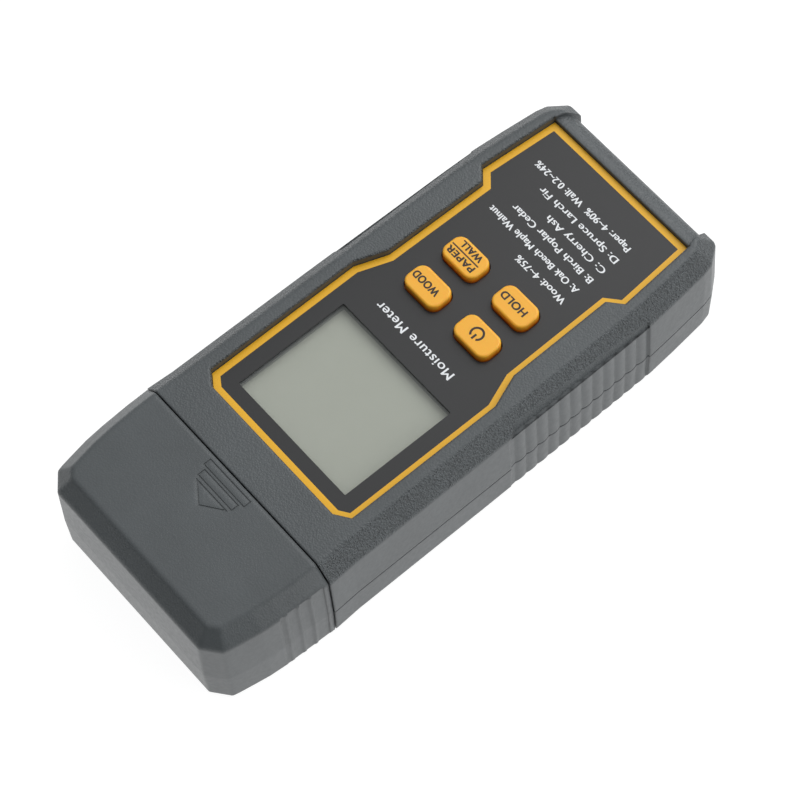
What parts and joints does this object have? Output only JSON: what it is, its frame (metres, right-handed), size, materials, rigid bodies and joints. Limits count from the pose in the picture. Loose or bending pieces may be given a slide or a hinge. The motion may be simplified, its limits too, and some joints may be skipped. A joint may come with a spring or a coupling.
{
  "type": "moisture meter",
  "caption": "Hand-held pin moisture meter with a pull-off cap over its probe pins, a display window, a keypad and a sliding battery door.",
  "frame": {"origin": "middle of the footprint, on the surface the meter lies on", "axes": "+Z out of the display face, +Y towards the probe pins and their cap, +X to the right of the display as it is read with the pins up"},
  "size_m": [0.0632, 0.1479, 0.0284],
  "materials": {
    "case_plastic": "satin, finely grained",
    "cap_plastic": "satin, smooth",
    "label_print": "satin, printed",
    "clear_plastic": "clear",
    "lcd": "satin",
    "white_plastic": "matte",
    "orange_rubber": "satin",
    "grey_rubber": "matte",
    "carbon": "matte",
    "circuit_board": "satin solder mask",
    "chip_plastic": "matte",
    "can_metal": "satin",
    "screw_steel": "zinc plated",
    "pin_steel": "polished",
    "brass": "turned",
    "block_plastic": "matte",
    "cell_jacket": "gloss",
    "contact_metal": "nickel plated",
    "wire_jacket": "gloss"
  },
  "bodies": {
    "case": {"upper_shell": "case_plastic", "lower_shell": "case_plastic", "face_label": "label_print", "lcd_window": "clear_plastic", "lcd_glass": "lcd", "lcd_frame": "white_plastic", "lcd_diffuser": "white_plastic", "keypad_mat": "grey_rubber", "power_web": "grey_rubber", "hold_web": "grey_rubber", "wood_web": "grey_rubber", "paper_wall_web": "grey_rubber", "zebra_strips": "carbon", "cell_foam": "carbon", "main_board": "circuit_board", "mcu_chip": "chip_plastic", "amplifier_chip": "chip_plastic", "resistors": "chip_plastic", "buzzer": "chip_plastic", "capacitors": "can_metal", "crystal": "can_metal", "case_screws": "screw_steel", "board_screws": "screw_steel", "probe_pins": "pin_steel", "pin_collars": "brass", "pin_block": "block_plastic", "battery_cells": "cell_jacket", "spring_contacts": "contact_metal", "plate_contacts": "contact_metal", "pin_leads": "wire_jacket", "battery_leads": "wire_jacket"},
    "cap": {"pin_cap": "cap_plastic"},
    "door": {"battery_door": "case_plastic"},
    "power_button": {"power_key": "orange_rubber", "power_pill": "carbon"},
    "hold_button": {"hold_key": "orange_rubber", "hold_pill": "carbon"},
    "wood_button": {"wood_key": "orange_rubber", "wood_pill": "carbon"},
    "paper_wall_button": {"paper_wall_key": "orange_rubber", "paper_wall_pill": "carbon"}
  },
  "joints": [
    {"name": "cap_slide", "type": "slide", "parent": "case", "child": "cap", "axis": [0, 1, 0], "range_m": [0, 0.035]},
    {"name": "battery_door_slide", "type": "slide", "parent": "case", "child": "door", "axis": [0, -1, 0], "range_m": [0, 0.058]},
    {"name": "power_press", "type": "slide", "parent": "case", "child": "power_button", "axis": [0, 0, -1], "range_m": [0, 0.0008], "stiffness_N_per_m": 1200, "deforming": ["power_web"]},
    {"name": "hold_press", "type": "slide", "parent": "case", "child": "hold_button", "axis": [0, 0, -1], "range_m": [0, 0.0008], "stiffness_N_per_m": 1200, "deforming": ["hold_web"]},
    {"name": "wood_press", "type": "slide", "parent": "case", "child": "wood_button", "axis": [0, 0, -1], "range_m": [0, 0.0008], "stiffness_N_per_m": 1200, "deforming": ["wood_web"]},
    {"name": "paper_wall_press", "type": "slide", "parent": "case", "child": "paper_wall_button", "axis": [0, 0, -1], "range_m": [0, 0.0008], "stiffness_N_per_m": 1200, "deforming": ["paper_wall_web"]}
  ]
}
